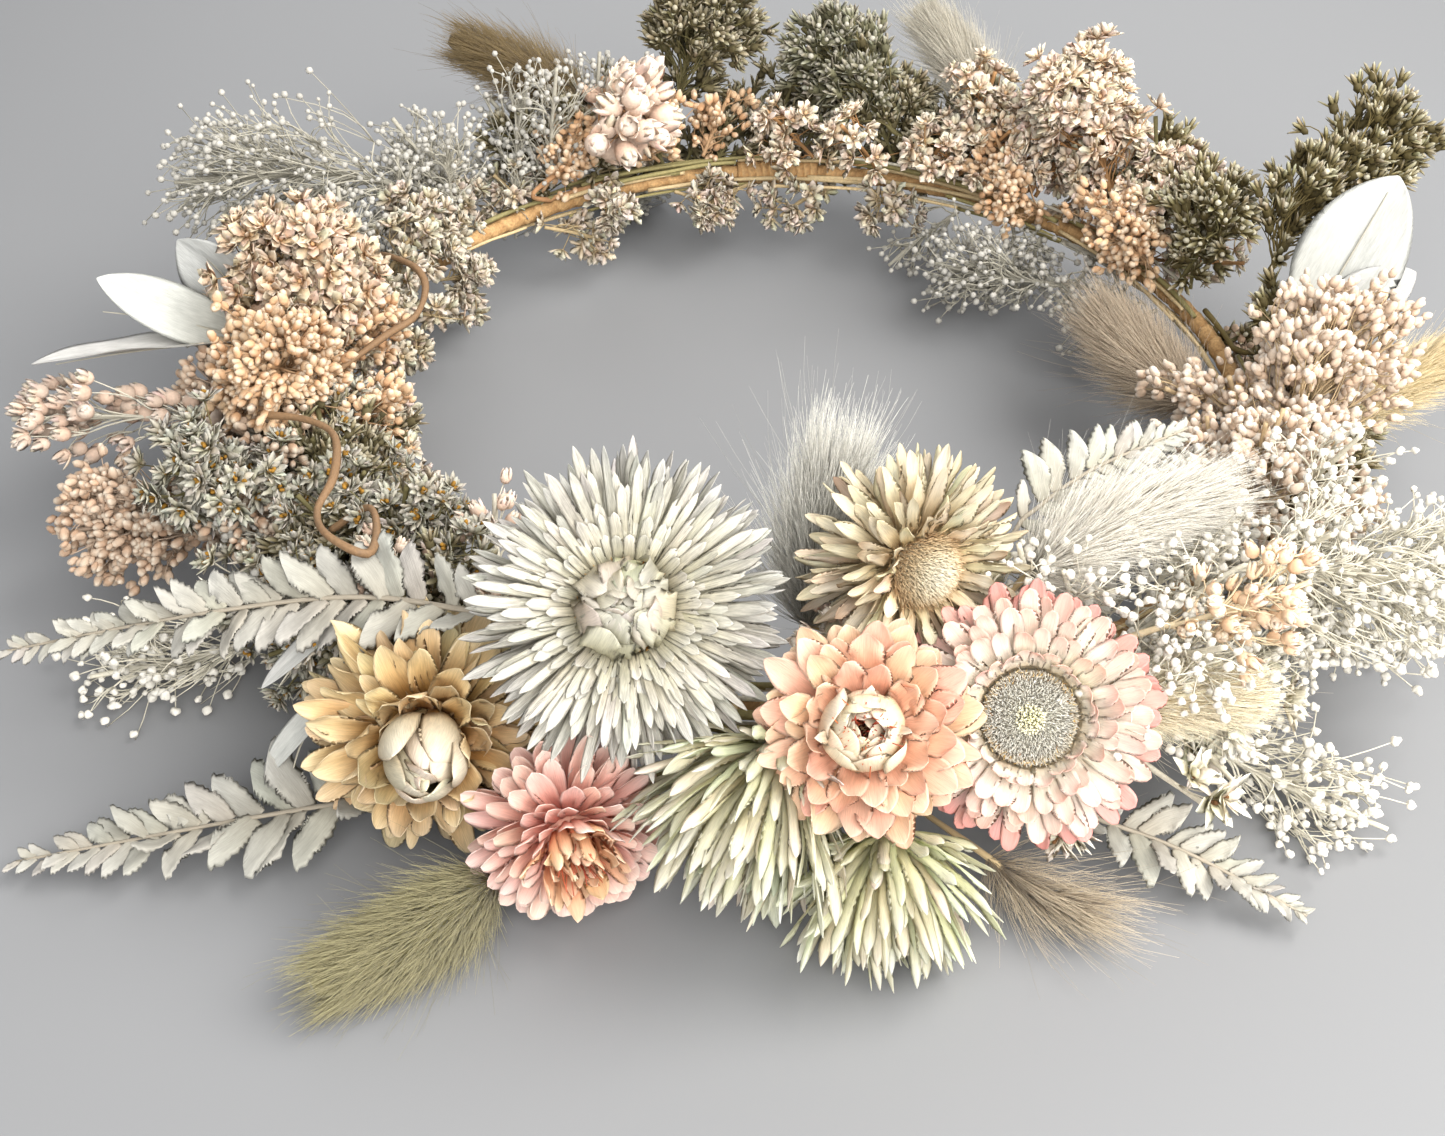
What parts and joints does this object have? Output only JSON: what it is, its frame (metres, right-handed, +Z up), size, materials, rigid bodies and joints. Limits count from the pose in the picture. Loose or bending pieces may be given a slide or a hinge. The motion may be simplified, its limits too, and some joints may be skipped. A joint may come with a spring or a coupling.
{
  "type": "flower crown",
  "caption": "Dried-flower crown: a paper-covered wire hoop with strawflowers, bunny-tail grasses, bleached fern and small filler blooms bound round it.",
  "frame": {"origin": "middle of the crown's overall box, on the surface it stands on", "axes": "+Z up along the hoop's axis, -Y towards the front posy of strawflowers, +X to the right seen from the front"},
  "size_m": [0.301, 0.2783, 0.0713],
  "materials": {
    "hoop_wire": "drawn steel wire, slightly dull",
    "hoop_paper": "tan twisted paper, matt",
    "binding_paper": "brown paper-covered wire, matt, twisted",
    "florist_wire": "green-brown painted florist's wire",
    "white_bract": "white papery bracts with a pearly gloss",
    "cream_bract": "straw-cream papery bracts, satin",
    "peach_bract": "peach-salmon papery bracts, translucent, satin",
    "pink_rim_bract": "white bracts blushing pink at their rims, satin",
    "honey_bract": "honey-yellow papery bracts, satin",
    "rose_bract": "rose-pink papery bracts, satin",
    "green_white_bract": "greenish-white papery bracts, translucent",
    "pale_green_bract": "pale yellow-green papery bracts, translucent",
    "white_disc": "white incurved bracts over an amber-stained centre",
    "cream_disc": "fuzzy beige florets",
    "peach_disc": "cream inner bracts with dark red stamens",
    "pink_rim_disc": "grey fuzzy florets, pale yellow-green in the middle",
    "honey_bud": "cream half-closed bud bracts",
    "rose_disc": "peach inner bracts with dark red stamens",
    "fern": "bleached fern, matt, fine veins",
    "leaf": "bleached leaf, matt, fine parallel veins",
    "plume_green": "olive-green silky seed plume",
    "plume_grey": "grey-white silky seed plume",
    "plume_white": "white silky seed plume",
    "plume_cream": "cream silky seed plume",
    "plume_beige": "beige-taupe silky seed plume",
    "plume_brown": "tan-brown silky seed plume",
    "plume_tan": "tan silky seed plume",
    "gypsophila": "tiny off-white beads on fine stems",
    "rice_pink": "pale pink seed heads",
    "rice_salmon": "salmon seed heads",
    "rice_peach": "peach-cream seed heads",
    "ixodia": "tiny white daisies with yellow centres",
    "broom": "cream-peach flakes on fine stems",
    "pink_bud": "pale pink-beige buds",
    "olive": "olive and off-white flower heads",
    "statice": "brown-olive spikes with white buds"
  },
  "bodies": {
    "root": {"binding_wire": "binding_paper", "broom_clump_left": "broom", "bunny_tail_beige": "plume_beige", "bunny_tail_brown": "plume_brown", "bunny_tail_cream": "plume_cream", "bunny_tail_green": "plume_green", "bunny_tail_grey": "plume_grey", "bunny_tail_grey_back": "plume_beige", "bunny_tail_tan": "plume_tan", "bunny_tail_taupe": "plume_beige", "bunny_tail_white": "plume_white", "cream_strawflower_bracts": "cream_bract", "cream_strawflower_disc": "cream_disc", "cream_strawflower_stem": "florist_wire", "fern_left_lower": "fern", "fern_left_upper": "fern", "fern_right_lower": "fern", "fern_right_upper": "fern", "green_white_strawflower_bracts": "green_white_bract", "green_white_strawflower_stem": "florist_wire", "gypsophila_back_rest": "gypsophila", "gypsophila_inner_right": "gypsophila", "gypsophila_left_back": "gypsophila", "gypsophila_left_low": "gypsophila", "gypsophila_right_front": "gypsophila", "gypsophila_right_low": "gypsophila", "honey_strawflower_bracts": "honey_bract", "honey_strawflower_disc": "honey_bud", "honey_strawflower_stem": "florist_wire", "hoop_joint_tape": "hoop_paper", "hoop_paper_cover": "hoop_paper", "hoop_wire_core": "hoop_wire", "ixodia_left": "ixodia", "leaf_hanging": "leaf", "leaves_left": "leaf", "leaves_right": "leaf", "olive_cluster_back_left": "olive", "olive_cluster_back_right": "olive", "pale_green_strawflower_bracts": "pale_green_bract", "pale_green_strawflower_stem": "florist_wire", "peach_cluster_back": "rice_peach", "peach_strawflower_bracts": "peach_bract", "peach_strawflower_disc": "peach_disc", "peach_strawflower_stem": "florist_wire", "pink_bud_stems_left": "rice_pink", "pink_buds_back": "pink_bud", "pink_rim_strawflower_bracts": "pink_rim_bract", "pink_rim_strawflower_disc": "pink_rim_disc", "pink_rim_strawflower_stem": "florist_wire", "rice_flower_front_right": "rice_peach", "rice_flower_left_pink": "rice_pink", "rice_flower_left_salmon": "rice_salmon", "rice_flower_right_peach": "rice_peach", "rose_strawflower_bracts": "rose_bract", "rose_strawflower_disc": "rose_disc", "rose_strawflower_stem": "florist_wire", "statice_right": "statice", "white_strawflower_bracts": "white_bract", "white_strawflower_disc": "white_disc", "white_strawflower_stem": "florist_wire"}
  },
  "joints": []
}
